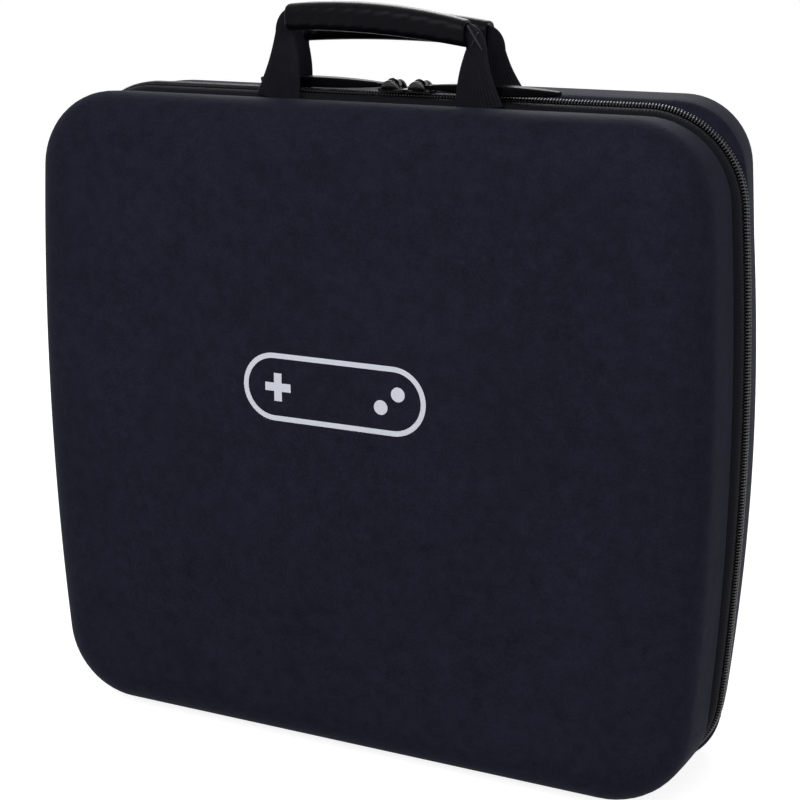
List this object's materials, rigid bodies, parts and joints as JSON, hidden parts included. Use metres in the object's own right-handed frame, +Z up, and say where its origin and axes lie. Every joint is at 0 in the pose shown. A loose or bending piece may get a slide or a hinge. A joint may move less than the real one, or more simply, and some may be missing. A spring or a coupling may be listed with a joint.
{
  "type": "console carrying bag",
  "caption": "Hard-shell zip-round carrying bag for a game console, with a moulded clamshell body, a zip along three sides and strap handles with moulded grips.",
  "frame": {"origin": "under the middle of the bag's box, on the flat bottom that it stands on", "axes": "+X along the width to the right as seen from the front, +Y from the front face to the rear face, +Z up to the handles"},
  "size_m": [0.372, 0.122, 0.375],
  "materials": {
    "shell_cloth": "matte woven cloth over moulded foam",
    "zip_tape": "ribbed woven tape",
    "zip_chain": "glossy coil teeth",
    "binding": "plain woven tape",
    "webbing": "ribbed webbing",
    "grip": "soft moulded sleeve with a slight gloss",
    "slider_metal": "glossy black",
    "pull": "glossy moulded pull",
    "hold_strap": "woven strap with hook-and-loop faces",
    "pocket": "open mesh with an elastic hem"
  },
  "bodies": {
    "base": {"rear_shell": "shell_cloth", "rear_zip_tape": "zip_tape", "rear_zip_coil": "zip_chain", "rear_seam_binding": "binding", "rear_handle_strap": "webbing", "rear_handle_grip": "grip", "hinge_cloth": "binding", "left_zip_end": "zip_tape", "right_zip_end": "zip_tape", "left_hold_strap_lower": "hold_strap", "left_hold_strap_upper": "hold_strap", "right_hold_strap_lower": "hold_strap", "right_hold_strap_upper": "hold_strap"},
    "lid": {"front_shell": "shell_cloth", "front_zip_tape": "zip_tape", "front_zip_coil": "zip_chain", "front_seam_binding": "binding", "front_handle_strap": "webbing", "front_handle_grip": "grip", "pocket_mesh": "pocket", "pocket_hem": "pocket"},
    "left_slider": {"left_slider": "slider_metal"},
    "left_pull": {"left_pull": "pull"},
    "right_slider": {"right_slider": "slider_metal"},
    "right_pull": {"right_pull": "pull"}
  },
  "joints": [
    {"name": "lid_hinge", "type": "hinge", "parent": "base", "child": "lid", "pos_m": [0, 0, 0], "axis": [1, 0, 0], "range_deg": [0, 178], "deforming": ["hinge_cloth"]},
    {"name": "left_slide", "type": "slide", "parent": "base", "child": "left_slider", "axis": [-1, 0, 0], "range_m": [0, 0.12]},
    {"name": "right_slide", "type": "slide", "parent": "base", "child": "right_slider", "axis": [1, 0, 0], "range_m": [0, 0.1]},
    {"name": "left_pull_swing", "type": "hinge", "parent": "left_slider", "child": "left_pull", "pos_m": [0.00285, 0, 0.3356], "axis": [0.0349, 0.9994, 0], "range_deg": [0, 90]},
    {"name": "right_pull_swing", "type": "hinge", "parent": "right_slider", "child": "right_pull", "pos_m": [0.01715, 0, 0.3356], "axis": [-0.1045, -0.9945, 0], "range_deg": [0, 90]}
  ]
}
